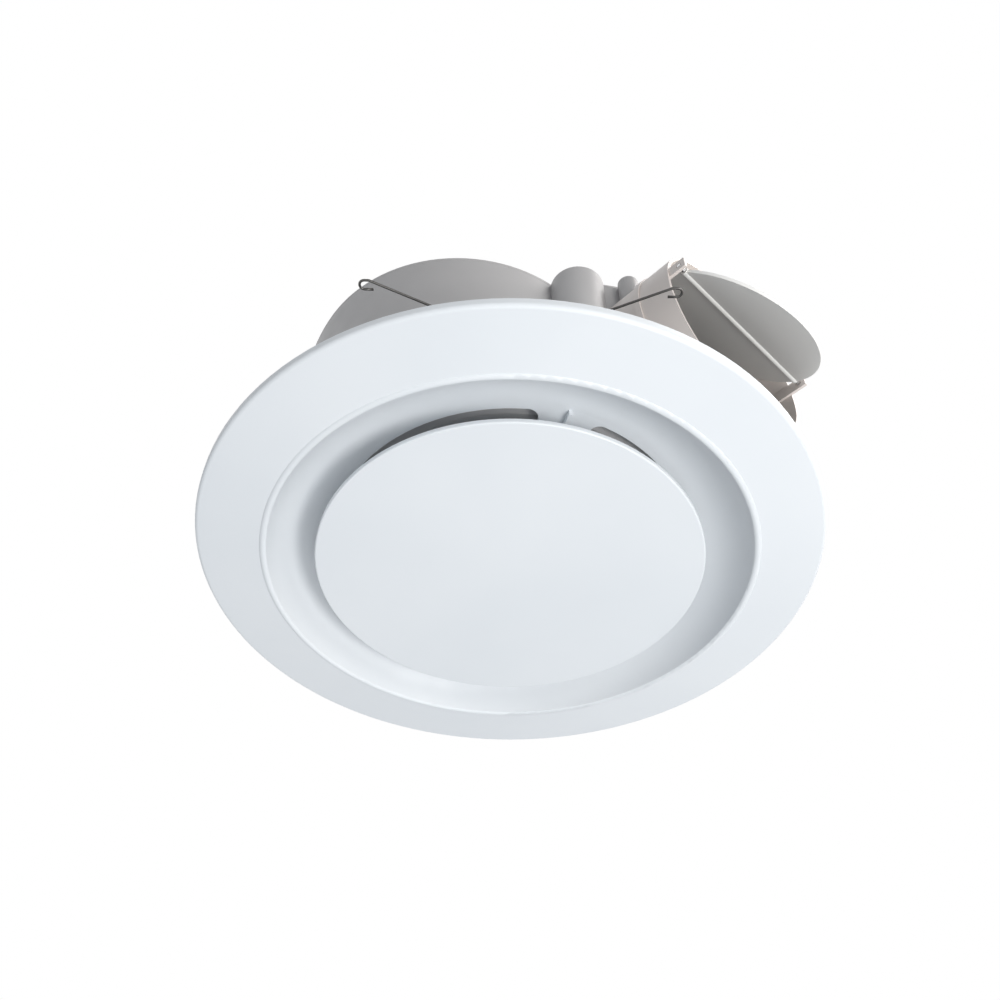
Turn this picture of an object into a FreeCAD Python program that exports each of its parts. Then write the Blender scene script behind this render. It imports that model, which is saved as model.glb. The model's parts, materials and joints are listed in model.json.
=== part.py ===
"""Round ceiling exhaust fan with a side outlet, as a parametric document.

The origin is the centre of the ceiling plane, where the fascia's flange meets the
ceiling. Z points up into the roof space. Lengths are millimetres, angles degrees.
"""
import FreeCAD, Part
import math
import os
import re
import Sketcher

# Driving dimensions, one cell each
SIZES = {
    # Fascia, seen from the room
    "flange_wide": 33.2,
    "rim_thick": 4.6,
    "rim_round": 2.0,
    "throat_over": 1.8,
    "throat_drop": 2.8,
    "dish_height": 18.8,
    "dish_wide": 26.8,
    "fascia_wall": 2.4,
    "lip_wide": 3.2,
    "lip_curve": 2.0,
    "seat_height": 4.5,
    "slot_margin": 2.8,
    "slot_wide": 26.5,
    "slot_half_angle": 36.5,
    "slot_corner": 5.0,
    "slot_count": 4.0,
    "web_angle": -72.5,
    "web_rib_wide": 1.6,
    "web_rib_deep": 3.0,
    "web_rib_long": 10.0,
    # Centre disc
    "disc_gap": 22.3,
    "disc_rise": 0.5,
    "disc_wall": 1.6,
    "disc_lip": 2.4,
    "disc_round": 0.8,
    "post_radius": 4.0,
    "post_ring": 40.0,
    "post_count": 4.0,
    # Scroll housing
    "scroll_wide": 38.0,
    "housing_wall": 2.5,
    "skirt_top": 38.0,
    "floor_bottom": 18.0,
    "wall_top": 108.5,
    "outlet_angle": -45.0,
    "spiral_angle": 262.0,
    "tongue_gap": 11.0,
    "tongue_angle": 331.0,
    "tongue_nose": 9.0,
    "column_radius": 13.4,
    "column_ahead": 7.4,
    "boss_radius": 5.1,
    "boss_ahead": 4.0,
    "boss_aside": 15.9,
    "column_flank": 15.8,
    "step_lead": 5.0,
    "outlet_margin": 0.6,
    "cover_boss": 4.5,
    "cover_boss_deep": 12.0,
    "cover_boss_count": 5.0,
    "cover_boss_first": 70.0,
    "cover_boss_sweep": 190.0,
    "hole_margin": 4.5,
    # Inlet cone
    "cone_flange_wide": 12.0,
    "cone_flange_thick": 2.0,
    "mouth_margin": 0.5,
    "cone_rise": 11.0,
    "cone_wall": 2.0,
    "cone_curve_share": 0.85,
    "stud_radius": 4.5,
    # Top cover
    "cover_thick": 2.5,
    "cover_rib_inner": 30.0,
    "cover_rib_thick": 2.0,
    "cover_rib_tall": 3.0,
    # Impeller
    "wheel_radius": 75.0,
    "blade_deep": 12.5,
    "mouth_gap": 4.0,
    "wheel_gap": 15.5,
    "plate_thick": 2.0,
    "blade_count": 32.0,
    "blade_thick": 1.2,
    "blade_curve": 12.0,
    "blade_sweep": 11.6,
    "dome_flare": 5.0,
    "dome_gap": 4.5,
    "dome_drop": 16.0,
    "dome_curve_drop": 6.0,
    "hub_radius": 9.0,
    "hub_drop": 6.0,
    "hub_rise": 8.0,
    # Motor
    "shaft_radius": 4.0,
    "shaft_end_gap": 1.0,
    "shaft_below_nut": 2.0,
    "can_radius": 37.5,
    "can_wall": 2.0,
    "mount_tall": 4.0,
    "can_tall": 46.5,
    "bearing_radius": 11.0,
    "bearing_tall": 7.0,
    "bearing_seat_wall": 2.5,
    "core_lift": 13.0,
    "core_tall": 19.0,
    "rotor_radius": 19.2,
    "air_gap": 0.5,
    "coil_clear": 2.8,
    "coil_margin": 2.5,
    "coil_tall": 6.0,
    "coil_gap": 0.4,
    "nut_radius": 7.5,
    "nut_tall": 5.0,
    "mount_radius": 6.0,
    "mount_inset": 13.5,
    "mount_count": 3.0,
    # Outlet spigot and flap
    "spigot_radius": 49.0,
    "spigot_wall": 1.6,
    "spigot_offset": 16.0,
    "spigot_long": 20.3,
    "stop_rise": 0.8,
    "stop_long": 3.0,
    "axle_reach": 5.5,
    "axle_rise": 6.6,
    "axle_radius": 1.0,
    "ear_long": 9.0,
    "ear_half": 3.2,
    "ear_thick": 1.5,
    "ear_inset": 1.25,
    "flap_gap": 3.4,
    "flap_thick": 1.5,
    "flap_rib": 1.8,
    "flap_tilt": 42.5,
    # Wire clips
    "clip_angle": -88.0,
    "clip_height": 21.0,
    "wire_radius": 0.75,
    "clip_reach": 6.0,
    "axle_half": 13.0,
    "bend_radius": 3.0,
    "arm_out": 48.0,
    "arm_away": 22.0,
    "loop_radius": 2.0,
    "eye_long": 3.8,
    "loop_tail": 5.6,
    "lug_half": 7.5,
    "lug_thick": 3.0,
    "lug_half_tall": 4.0,
    "bracket_thick": 2.5,
    "bracket_half": 11.0,
    "bracket_half_tall": 6.5,
    # Terminal box
    "box_long": 64.0,
    "box_wide": 42.0,
    "box_tall": 26.0,
    "box_wall": 2.0,
    "box_inset": 45.0,
    "box_y": 14.0,
    "box_corner": 4.0,
    "lid_thick": 2.2,
    "gland_radius": 8.0,
    "gland_bore": 4.2,
    "gland_long": 12.0,
    "gland_thread": 6.0,
    "block_long": 34.0,
    "block_wide": 16.0,
    "block_tall": 12.0,
    "terminal_count": 3.0,
    "terminal_radius": 2.6,
    # Screws
    "screw_radius": 1.75,
    "head_radius": 3.4,
    "head_tall": 2.0,
    "drive_radius": 1.5,
    "drive_deep": 1.2,
    # Fits
    "running_fit": 0.05,
    "slip_fit": 0.1,
    "pivot_fit": 0.3,
    "overrun": 5.0,
}

doc = FreeCAD.newDocument("exhaust_fan")
sheet = doc.addObject("Spreadsheet::Sheet", "sizes")
for row, (alias, value) in enumerate(SIZES.items(), start=1):
    sheet.set("A%d" % row, alias)
    sheet.set("B%d" % row, str(value))
    sheet.setAlias("B%d" % row, alias)
doc.recompute()

FUNCTIONS = {"sqrt", "cos", "sin", "pi"}
UP = FreeCAD.Vector(0, 0, 1)
ROOT_POINT = (-1, 1)
SKETCH_AXES = {"across": -1, "upright": -2}


def formula(text):
    """An expression in which each word is a cell of the sheet."""
    def linked(word):
        return word.group() if word.group() in FUNCTIONS else "sizes." + word.group()
    return re.sub(r"[a-z][a-z_]+", linked, text)


def number(text):
    """The present value of an expression."""
    return float(sheet.evalExpression(formula(text)))


def bind(thing, **sizes):
    """Bind an object's properties to expressions."""
    for name, text in sizes.items():
        thing.setExpression(name.replace("_", "."), formula(text))
    return thing


# Sketches
def new_body(label):
    body = doc.addObject("PartDesign::Body", label)
    body.Label = label
    return body


def new_sketch(body, role, lift=None):
    """A sketch on one of the body's own origin planes, raised along the plane's normal."""
    plane = next(item for item in body.Origin.OriginFeatures if item.Role == role)
    sketch = body.newObject("Sketcher::SketchObject", body.Label + "_sketch")
    sketch.AttachmentSupport = [(plane, "")]
    sketch.MapMode = "FlatFace"
    if lift:
        sketch.setExpression("AttachmentOffset.Base.z", formula(lift))
    return sketch


def pin_down(sketch, edge, spot, across, upright):
    """Hold one point of a sketch at its two expressions."""
    for axis, kind, text in (("upright", "DistanceX", across), ("across", "DistanceY", upright)):
        if text == "0":
            sketch.addConstraint(Sketcher.Constraint("PointOnObject", edge, spot, SKETCH_AXES[axis]))
        else:
            link(sketch, Sketcher.Constraint(kind, *ROOT_POINT, edge, spot, number(text)), text)


def link(sketch, constraint, text):
    place = sketch.addConstraint(constraint)
    name = "size%d" % place
    sketch.renameConstraint(place, name)
    sketch.setExpression("Constraints." + name, formula(text))


def draw(sketch, corners):
    """A closed outline. A corner is (across, upright), or with (radius, side) where an arc leaves it.

    The side is that of the arc's centre, left or right of the way to the next corner.
    """
    spots = [FreeCAD.Vector(number(corner[0]), number(corner[1]), 0) for corner in corners]
    starts = []
    for corner, here, there in zip(corners, spots, spots[1:] + spots[:1]):
        if len(corner) == 2:
            edge = sketch.addGeometry(Part.LineSegment(here, there))
            starts.append((edge, 1, 2))
            continue
        radius, side = number(corner[2]), corner[3]
        chord = there - here
        square = FreeCAD.Vector(-chord.y, chord.x, 0).normalize()
        rise = math.sqrt(max(radius ** 2 - (chord.Length / 2) ** 2, 0))
        centre = (here + there) / 2 + square * (rise if side == "left" else -rise)
        first, last = (here, there) if side == "left" else (there, here)
        angles = [math.atan2(spot.y - centre.y, spot.x - centre.x) for spot in (first, last)]
        edge = sketch.addGeometry(Part.ArcOfCircle(Part.Circle(centre, UP, radius), *angles))
        starts.append((edge, 1, 2) if side == "left" else (edge, 2, 1))
    for place, corner in enumerate(corners):
        edge, start, end = starts[place]
        after = starts[(place + 1) % len(corners)]
        sketch.addConstraint(Sketcher.Constraint("Coincident", edge, end, after[0], after[1]))
        pin_down(sketch, edge, start, corner[0], corner[1])
        if len(corner) > 2:
            link(sketch, Sketcher.Constraint("Radius", edge, number(corner[2])), corner[2])
    return sketch


def circle(sketch, across, upright, radius):
    centre = FreeCAD.Vector(number(across), number(upright), 0)
    edge = sketch.addGeometry(Part.Circle(centre, UP, number(radius)))
    if across == "0" and upright == "0":
        sketch.addConstraint(Sketcher.Constraint("Coincident", edge, 3, *ROOT_POINT))
    else:
        pin_down(sketch, edge, 3, across, upright)
    link(sketch, Sketcher.Constraint("Radius", edge, number(radius)), radius)
    return sketch


def block(left, bottom, right, top):
    """The four corners of a rectangle."""
    return [(left, bottom), (right, bottom), (right, top), (left, top)]


# Features
def revolve(body, corners):
    sketch = draw(new_sketch(body, "XZ_Plane"), corners)
    feature = body.newObject("PartDesign::Revolution", body.Label + "_turned")
    feature.Profile = sketch
    feature.ReferenceAxis = (sketch, ["V_Axis"])
    feature.Angle = 360
    doc.recompute()
    return feature


def pad(body, sketch, length, down=False):
    feature = body.newObject("PartDesign::Pad", body.Label + "_pad")
    feature.Profile = sketch
    feature.Reversed = down
    bind(feature, Length=length)
    doc.recompute()
    return feature


def pocket(body, sketch, length, up=True):
    """Cut a sketch out of the body, upwards from the sketch unless told otherwise."""
    before = body.Shape.Volume
    feature = body.newObject("PartDesign::Pocket", body.Label + "_pocket")
    feature.Profile = sketch
    feature.Reversed = up
    bind(feature, Length=length)
    doc.recompute()
    if body.Shape.Volume >= before:
        raise ValueError(body.Label + " pocket cuts nothing")
    return feature


def repeat(body, feature, count, sweep="360"):
    """Repeat a feature round the body's Z axis."""
    pattern = body.newObject("PartDesign::PolarPattern", body.Label + "_pattern")
    pattern.Originals = [feature]
    axis = next(item for item in body.Origin.OriginFeatures if item.Role == "Z_Axis")
    pattern.Axis = (axis, [""])
    bind(pattern, Occurrences=count, Angle=sweep)
    body.Tip = pattern
    doc.recompute()
    return pattern


# Primitives
def cylinder(name, radius, height, x="0", y="0", z="0", axis="z"):
    thing = doc.addObject("Part::Cylinder", name)
    bind(thing, Radius=radius, Height=height)
    return put(thing, x, y, z, axis)


def box(name, long, wide, tall, x="0", y="0", z="0"):
    """A box standing on z and centred on x and y."""
    thing = doc.addObject("Part::Box", name)
    bind(thing, Length=long, Width=wide, Height=tall)
    return put(thing, "%s - (%s) / 2" % (x, long), "%s - (%s) / 2" % (y, wide), z)


TURNS = {
    "z": FreeCAD.Rotation(),
    "x": FreeCAD.Rotation(FreeCAD.Vector(0, 1, 0), 90),
    "y": FreeCAD.Rotation(FreeCAD.Vector(1, 0, 0), -90),
    "-z": FreeCAD.Rotation(FreeCAD.Vector(1, 0, 0), 180),
}


def put(thing, x, y, z, axis="z"):
    thing.Placement = FreeCAD.Placement(FreeCAD.Vector(), TURNS[axis])
    thing.setExpression("Placement.Base.x", formula(x))
    thing.setExpression("Placement.Base.y", formula(y))
    thing.setExpression("Placement.Base.z", formula(z))
    return thing


def join(name, *things):
    whole = doc.addObject("Part::MultiFuse", name)
    whole.Shapes = list(things)
    whole.Label = name
    return whole


def cut(name, base, *tools):
    whole = doc.addObject("Part::Cut", name)
    whole.Base = base
    whole.Tool = tools[0] if len(tools) == 1 else join(name + "_tools", *tools)
    whole.Label = name
    return whole


def group(name, things):
    """Separate like solids under one label."""
    whole = doc.addObject("Part::Compound", name)
    whole.Links = things
    whole.Label = name
    return whole


def screw(name, length, x, y, z, axis="z"):
    """A round-headed screw. Its head stands on the seat, and its shank runs back along the axis."""
    shank = cylinder(name + "_shank", "screw_radius", length, z="0 - (%s)" % length)
    head = cylinder(name + "_head", "head_radius", "head_tall")
    drive = cylinder(name + "_drive", "drive_radius", "overrun", z="head_tall - drive_deep")
    whole = cut(name, join(name + "_whole", shank, head), drive)
    return put(whole, x, y, z, axis)


def ring_of(count, radius, first="0", sweep="360"):
    """Expressions for points evenly round a circle."""
    for place in range(int(number(count))):
        angle = "(%s + %d * (%s) / (%s))" % (first, place, sweep, count)
        yield "(%s) * cos(%s)" % (radius, angle), "(%s) * sin(%s)" % (radius, angle)


def turn_to_outlet(thing):
    """Turn a piece drawn with its X along the outlet to the outlet's own angle."""
    thing.Placement = FreeCAD.Placement(FreeCAD.Vector(), FreeCAD.Rotation(UP, 0))
    thing.setExpression("Placement.Rotation.Angle", formula("outlet_angle"))
    return thing


def polar(radius, angle):
    """A point at a radius and an angle, as two expressions."""
    return "(%s) * cos(%s)" % (radius, angle), "(%s) * sin(%s)" % (radius, angle)


def spread(wide, radius):
    """The angle that a short arc takes at a radius, as an expression."""
    return "((%s) / (%s) * 180 / pi)" % (wide, radius)


def place_at(thing, *moves):
    """Place a piece by a chain of moves, the outermost first."""
    whole = FreeCAD.Placement()
    for move in moves:
        whole = whole.multiply(move)
    for axis in "xyz":
        thing.setExpression("Placement.Base." + axis, None)
    thing.Placement = whole
    return thing


def shift(x, y, z):
    return FreeCAD.Placement(FreeCAD.Vector(number(x), number(y), number(z)), FreeCAD.Rotation())


def spin(axis, angle):
    return FreeCAD.Placement(FreeCAD.Vector(), FreeCAD.Rotation(axis, number(angle)))


# Sizes and heights that follow the driving dimensions
DRUM = "(wheel_radius + scroll_wide)"
DRUM_INNER = "(%s - housing_wall)" % DRUM
THROAT_RADIUS = "(%s + throat_over)" % DRUM
FASCIA_RADIUS = "(%s + flange_wide)" % THROAT_RADIUS
DISH_RADIUS = "(%s - dish_wide)" % THROAT_RADIUS
DISH_CURVE = "((dish_wide ^ 2 + dish_height ^ 2) / (2 * dish_height))"
DISC_RADIUS = "(%s - disc_gap)" % THROAT_RADIUS
SLOT_OUTER = "(%s - slot_margin)" % DISH_RADIUS
SLOT_INNER = "(%s - slot_wide)" % SLOT_OUTER
FACE = "(0 - rim_thick)"
THROAT = "(0 - rim_thick - throat_drop)"
FLOOR = "(dish_height - throat_drop - rim_thick)"
DISC_FACE = "(disc_rise - rim_thick - throat_drop)"
HOUSING_FLOOR = "(floor_bottom + housing_wall)"
COVER_TOP = "(wall_top + cover_thick)"
COVER_SCREW_RING = "(%s - cover_boss / 2)" % DRUM_INNER
WHEEL_INNER = "(wheel_radius - blade_deep)"
FLOOR_HOLE = "(%s - hole_margin)" % SLOT_OUTER
CONE_MOUTH = "(%s - mouth_margin)" % WHEEL_INNER
CONE_FLANGE = "(%s + cone_flange_wide)" % FLOOR_HOLE
CONE_TOP = "(floor_bottom + cone_rise)"
CONE_CURVE = "(cone_curve_share * (%s - %s + cone_rise))" % (FLOOR_HOLE, CONE_MOUTH)
STUD_RING = "((%s + %s) / 2)" % (FLOOR_HOLE, CONE_MOUTH)
WHEEL_BOTTOM = "(%s + mouth_gap)" % CONE_TOP
WHEEL_TOP = "(wall_top - wheel_gap)"
CAN_TOP = "(wall_top - mount_tall)"
CAN_BOTTOM = "(%s - can_tall)" % CAN_TOP
CAN_INNER = "(can_radius - can_wall)"
CAN_CEILING = "(%s - can_wall)" % CAN_TOP
DOME_FOOT = "(can_radius + dome_gap)"
DOME_TOP = "(%s + dome_flare)" % DOME_FOOT
DOME_BOTTOM = "(%s - dome_drop)" % CAN_BOTTOM
DOME_SHOULDER = "(%s - dome_curve_drop)" % CAN_BOTTOM
HUB_BOTTOM = "(%s - hub_drop)" % DOME_BOTTOM
SHAFT_TOP = "(%s - shaft_end_gap)" % CAN_CEILING
SHAFT_BOTTOM = "(%s - nut_tall - shaft_below_nut)" % HUB_BOTTOM
CORE_BOTTOM = "(%s + core_lift)" % CAN_BOTTOM
MOUNT_RING = "(can_radius - mount_inset)"
MOUTH = "(%s + spigot_long)" % DRUM
SPIGOT_Z = "(%s - spigot_radius)" % COVER_TOP
TONGUE = "(wheel_radius + tongue_gap)"
TONGUE_ALONG = "(%s * cos(tongue_angle - spiral_angle))" % TONGUE
# The spiral leaves the drum's circle along its tangent and ends at the tongue
SPIRAL_SPAN = "(%s ^ 2 + %s ^ 2 - 2 * %s * %s)" % (DRUM, TONGUE, DRUM, TONGUE_ALONG)
SPIRAL_CURVE = "(%s / (2 * (%s - %s)))" % (SPIRAL_SPAN, DRUM, TONGUE_ALONG)
COLUMN_X = "(%s * cos(tongue_angle) + column_ahead)" % TONGUE
BORE = "(spigot_radius - spigot_wall)"
TONGUE_WALL = "(spigot_offset - %s - outlet_margin - housing_wall)" % BORE
NOTCH_X = "(%s + column_flank)" % COLUMN_X
NOTCH_Y = "(spigot_offset + sqrt(spigot_radius ^ 2 - (wall_top - %s) ^ 2) + slip_fit)" % SPIGOT_Z
BOSS_X = "(%s + boss_ahead)" % NOTCH_X
BOSS_Y = "(%s + boss_aside)" % TONGUE_WALL
EAR_INNER = "(%s - ear_inset)" % BORE
FLAP_RADIUS = "(%s - flap_gap)" % BORE
AXLE_X = "(%s + axle_reach)" % MOUTH
AXLE_Z = "(%s + axle_rise)" % SPIGOT_Z
CLIP_AXLE = "(%s + clip_reach)" % DRUM
BOX_X = "(box_inset - %s)" % DRUM


# Fascia: flange, curved throat, slotted floor and seat for the drum
def slot_outline():
    """One air slot between two webs, with rounded corners."""
    low = "(web_angle + 180 / slot_count - slot_half_angle)"
    high = "(web_angle + 180 / slot_count + slot_half_angle)"
    outer_ease = spread("slot_corner", SLOT_OUTER)
    inner_ease = spread("slot_corner", SLOT_INNER)
    corner = ("slot_corner", "left")
    return [
        polar(SLOT_OUTER, low + " + " + outer_ease) + (SLOT_OUTER, "left"),
        polar(SLOT_OUTER, high + " - " + outer_ease) + corner,
        polar(SLOT_OUTER + " - slot_corner", high),
        polar(SLOT_INNER + " + slot_corner", high) + corner,
        polar(SLOT_INNER, high + " - " + inner_ease) + (SLOT_INNER, "right"),
        polar(SLOT_INNER, low + " + " + inner_ease) + corner,
        polar(SLOT_INNER + " + slot_corner", low),
        polar(SLOT_OUTER + " - slot_corner", low) + corner,
    ]


def web_rib_outline():
    """The thin rib along the middle of a web."""
    inner, outer = "(" + DISH_RADIUS + " - web_rib_long)", DISH_RADIUS
    inner_lean = spread("web_rib_wide / 2", inner)
    outer_lean = spread("web_rib_wide / 2", outer)
    return [
        polar(inner, "web_angle - " + inner_lean),
        polar(outer, "web_angle - " + outer_lean),
        polar(outer, "web_angle + " + outer_lean),
        polar(inner, "web_angle + " + inner_lean),
    ]


def make_fascia():
    body = new_body("fascia")
    revolve(body, [
        ("0", FLOOR),
        (DISH_RADIUS, FLOOR, DISH_CURVE, "right"),
        (THROAT_RADIUS, THROAT, "lip_curve", "left"),
        (THROAT_RADIUS + " + lip_wide", THROAT),
        (FASCIA_RADIUS + " - rim_round", FACE, "rim_round", "left"),
        (FASCIA_RADIUS, FACE + " + rim_round"),
        (FASCIA_RADIUS, "0"),
        (DRUM, "0"),
        (DRUM, "seat_height"),
        (DRUM_INNER, "seat_height", DISH_CURVE + " + fascia_wall", "left"),
        (DISH_RADIUS, FLOOR + " + fascia_wall"),
        ("0", FLOOR + " + fascia_wall"),
    ])
    slot = draw(new_sketch(body, "XY_Plane", FLOOR + " - overrun"), slot_outline())
    repeat(body, pocket(body, slot, "fascia_wall + 2 * overrun"), "slot_count")
    rib = draw(new_sketch(body, "XY_Plane", FLOOR), web_rib_outline())
    repeat(body, pad(body, rib, "web_rib_deep", down=True), "slot_count")
    hole = new_sketch(body, "XY_Plane", FLOOR + " - overrun")
    circle(hole, *polar(STUD_RING, "web_angle"), "screw_radius + slip_fit")
    repeat(body, pocket(body, hole, "fascia_wall + 2 * overrun"), "slot_count")
    return body


# Centre disc on its posts
def make_centre_disc():
    body = new_body("centre_disc")
    revolve(body, [
        ("0", DISC_FACE),
        (DISC_RADIUS + " - disc_round", DISC_FACE, "disc_round", "left"),
        (DISC_RADIUS, DISC_FACE + " + disc_round"),
        (DISC_RADIUS, DISC_FACE + " + disc_lip"),
        (DISC_RADIUS + " - disc_wall", DISC_FACE + " + disc_lip"),
        (DISC_RADIUS + " - disc_wall", DISC_FACE + " + disc_wall"),
        ("0", DISC_FACE + " + disc_wall"),
    ])
    post = new_sketch(body, "XY_Plane", DISC_FACE + " + disc_round")
    circle(post, *polar("post_ring", "web_angle"), "post_radius")
    repeat(body, pad(body, post, FLOOR + " - disc_round - " + DISC_FACE), "post_count")
    return body


# Drum and scroll casing, drawn with X along the outlet
def scroll_outline(inset):
    """The plan of the scroll: the drum's circle, the spiral to the tongue, and the step beside the spigot."""
    radius = "(%s - %s)" % (DRUM, inset)
    wall = "(%s + %s)" % (TONGUE_WALL, inset)
    step = "(%s - %s)" % (NOTCH_X, inset)
    tongue = "(%s - %s)" % (TONGUE, inset)
    spiral = "(%s - %s)" % (SPIRAL_CURVE, inset)
    return [
        ("sqrt(%s ^ 2 - %s ^ 2)" % (radius, NOTCH_Y), NOTCH_Y, radius, "left"),
        polar(radius, "90") + (radius, "left"),
        polar(radius, "180") + (radius, "left"),
        polar(radius, "spiral_angle") + (spiral, "left"),
        polar(tongue, "tongue_angle") + ("tongue_nose", "right"),
        (COLUMN_X, wall),
        ("%s + step_lead - %s" % (COLUMN_X, inset), wall),
        (step, BOSS_Y),
        (step, NOTCH_Y),
    ]


def open_to_spigot(body):
    """Cut the way for the spigot's tube, down to the housing's floor."""
    radius = "(spigot_radius + slip_fit)"
    half_floor = "sqrt(%s ^ 2 - (%s - %s) ^ 2)" % (radius, SPIGOT_Z, HOUSING_FLOOR)
    arc = (radius, "left")
    hole = new_sketch(body, "YZ_Plane", "wheel_radius")
    draw(hole, [
        ("spigot_offset - " + half_floor, HOUSING_FLOOR),
        ("spigot_offset + " + half_floor, HOUSING_FLOOR) + arc,
        ("spigot_offset + " + radius, SPIGOT_Z) + arc,
        ("spigot_offset", SPIGOT_Z + " + " + radius) + arc,
        ("spigot_offset - " + radius, SPIGOT_Z) + arc,
    ])
    pocket(body, hole, "scroll_wide + overrun")


def make_drum():
    """The ring that goes up through the ceiling, with the housing's floor in it."""
    body = new_body("drum")
    skirt = new_sketch(body, "XY_Plane", "seat_height")
    circle(skirt, "0", "0", DRUM)
    circle(skirt, "0", "0", DRUM_INNER)
    pad(body, skirt, "skirt_top - seat_height")
    floor = new_sketch(body, "XY_Plane", "floor_bottom")
    circle(floor, "0", "0", DRUM)
    circle(floor, "0", "0", FLOOR_HOLE)
    pad(body, floor, "housing_wall")
    open_to_spigot(body)
    return turn_to_outlet(body)


def make_scroll_casing():
    """The spiral wall on the drum's floor, with the tongue column, outlet walls and cover bosses."""
    body = new_body("scroll_casing")
    walls = draw(new_sketch(body, "XY_Plane", "floor_bottom"), scroll_outline("0"))
    pad(body, walls, "wall_top - floor_bottom")
    column = circle(new_sketch(body, "XY_Plane", "floor_bottom"), COLUMN_X, TONGUE_WALL, "column_radius")
    pad(body, column, "wall_top - floor_bottom")
    boss = circle(new_sketch(body, "XY_Plane", SPIGOT_Z), BOSS_X, BOSS_Y, "boss_radius")
    pad(body, boss, "wall_top - " + SPIGOT_Z)
    inside = new_sketch(body, "XY_Plane", HOUSING_FLOOR)
    draw(inside, scroll_outline("housing_wall"))
    pocket(body, inside, "wall_top - " + HOUSING_FLOOR + " + overrun")
    open_to_spigot(body)
    boss = new_sketch(body, "XY_Plane", "wall_top - cover_boss_deep")
    spot = polar(COVER_SCREW_RING, "cover_boss_first")
    circle(boss, *spot, "cover_boss")
    circle(boss, *spot, "screw_radius + slip_fit")
    repeat(body, pad(body, boss, "cover_boss_deep"), "cover_boss_count", "cover_boss_sweep")
    # The drum takes the lower end of the wall's ring and all of the floor inside it
    below = circle(new_sketch(body, "XY_Plane", "floor_bottom"), "0", "0", DRUM)
    pocket(body, below, "housing_wall")
    rim = new_sketch(body, "XY_Plane", "floor_bottom")
    circle(rim, "0", "0", DRUM)
    circle(rim, "0", "0", DRUM_INNER)
    pocket(body, rim, "skirt_top - floor_bottom")
    return turn_to_outlet(body)


# Inlet cone under the housing floor, with studs for the fascia screws
def make_inlet_cone():
    body = new_body("inlet_cone")
    flange_bottom = "(floor_bottom - cone_flange_thick)"
    neck = "(" + FLOOR_HOLE + " - slip_fit)"
    revolve(body, [
        (CONE_FLANGE, flange_bottom),
        (CONE_FLANGE, "floor_bottom"),
        (neck, "floor_bottom", CONE_CURVE, "right"),
        (CONE_MOUTH + " + cone_wall", CONE_TOP),
        (CONE_MOUTH, CONE_TOP, CONE_CURVE + " + cone_wall", "left"),
        (neck + " - cone_wall", flange_bottom),
    ])
    stud = new_sketch(body, "XY_Plane", FLOOR + " + fascia_wall")
    circle(stud, *polar(STUD_RING, "web_angle"), "stud_radius")
    circle(stud, *polar(STUD_RING, "web_angle"), "screw_radius + slip_fit")
    repeat(body, pad(body, stud, "floor_bottom - fascia_wall - " + FLOOR), "slot_count")
    return body


# Top cover that carries the motor
def make_top_cover():
    body = new_body("top_cover")
    plate = draw(new_sketch(body, "XY_Plane", "wall_top"), scroll_outline("0"))
    pad(body, plate, "cover_thick")
    ring = new_sketch(body, "XY_Plane", COVER_TOP)
    circle(ring, "0", "0", "cover_rib_inner")
    circle(ring, "0", "0", "cover_rib_inner + cover_rib_thick")
    pad(body, ring, "cover_rib_tall")
    for spot, count, sweep in (
            (polar(MOUNT_RING, "0"), "mount_count", "360"),
            (polar(COVER_SCREW_RING, "cover_boss_first"),
             "cover_boss_count", "cover_boss_sweep")):
        hole = new_sketch(body, "XY_Plane", "wall_top - overrun")
        circle(hole, *spot, "screw_radius + slip_fit")
        repeat(body, pocket(body, hole, "cover_thick + 2 * overrun"), count, sweep)
    return turn_to_outlet(body)


# Impeller with forward-curved blades
def blade_outline():
    """A blade's section, a strip between two arcs that lean the way the wheel turns."""
    inner, outer = "(" + WHEEL_INNER + " + blade_thick)", "(wheel_radius - blade_thick)"
    inner_wide = spread("blade_thick", inner)
    outer_wide = spread("blade_thick", outer)
    lean = spread("blade_sweep", outer)
    return [
        polar(inner, "0") + ("blade_curve + blade_thick", "right"),
        polar(outer, "0 - " + lean),
        polar(outer, outer_wide + " - " + lean) + ("blade_curve + blade_thick", "left"),
        polar(inner, inner_wide),
    ]


def make_impeller():
    """The wheel in three nodes: hub and plate, the blades below the plate, and the ring below the blades."""
    hub = new_body("impeller_hub")
    bore = "(shaft_radius + running_fit)"
    under = "(" + WHEEL_TOP + " - plate_thick)"
    cup_floor = "(" + DOME_BOTTOM + " + plate_thick)"
    revolve(hub, [
        ("wheel_radius", under),
        ("wheel_radius", WHEEL_TOP),
        (DOME_TOP, WHEEL_TOP),
        (DOME_FOOT, DOME_SHOULDER),
        ("hub_radius", cup_floor),
        ("hub_radius", cup_floor + " + hub_rise"),
        (bore, cup_floor + " + hub_rise"),
        (bore, HUB_BOTTOM),
        ("hub_radius", HUB_BOTTOM),
        ("hub_radius", DOME_BOTTOM),
        (DOME_FOOT + " + plate_thick", DOME_SHOULDER + " - plate_thick"),
        (DOME_TOP + " + plate_thick", under),
    ])
    foot = "(" + WHEEL_BOTTOM + " + plate_thick)"
    blades = new_body("impeller_blades")
    blades.AllowCompound = True
    first = pad(blades, draw(new_sketch(blades, "XY_Plane", foot), blade_outline()), under + " - " + foot)
    repeat(blades, first, "blade_count")
    ring = new_body("impeller_ring")
    outline = new_sketch(ring, "XY_Plane", WHEEL_BOTTOM)
    circle(outline, "0", "0", "wheel_radius")
    circle(outline, "0", "0", WHEEL_INNER)
    pad(ring, outline, "plate_thick")


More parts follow.
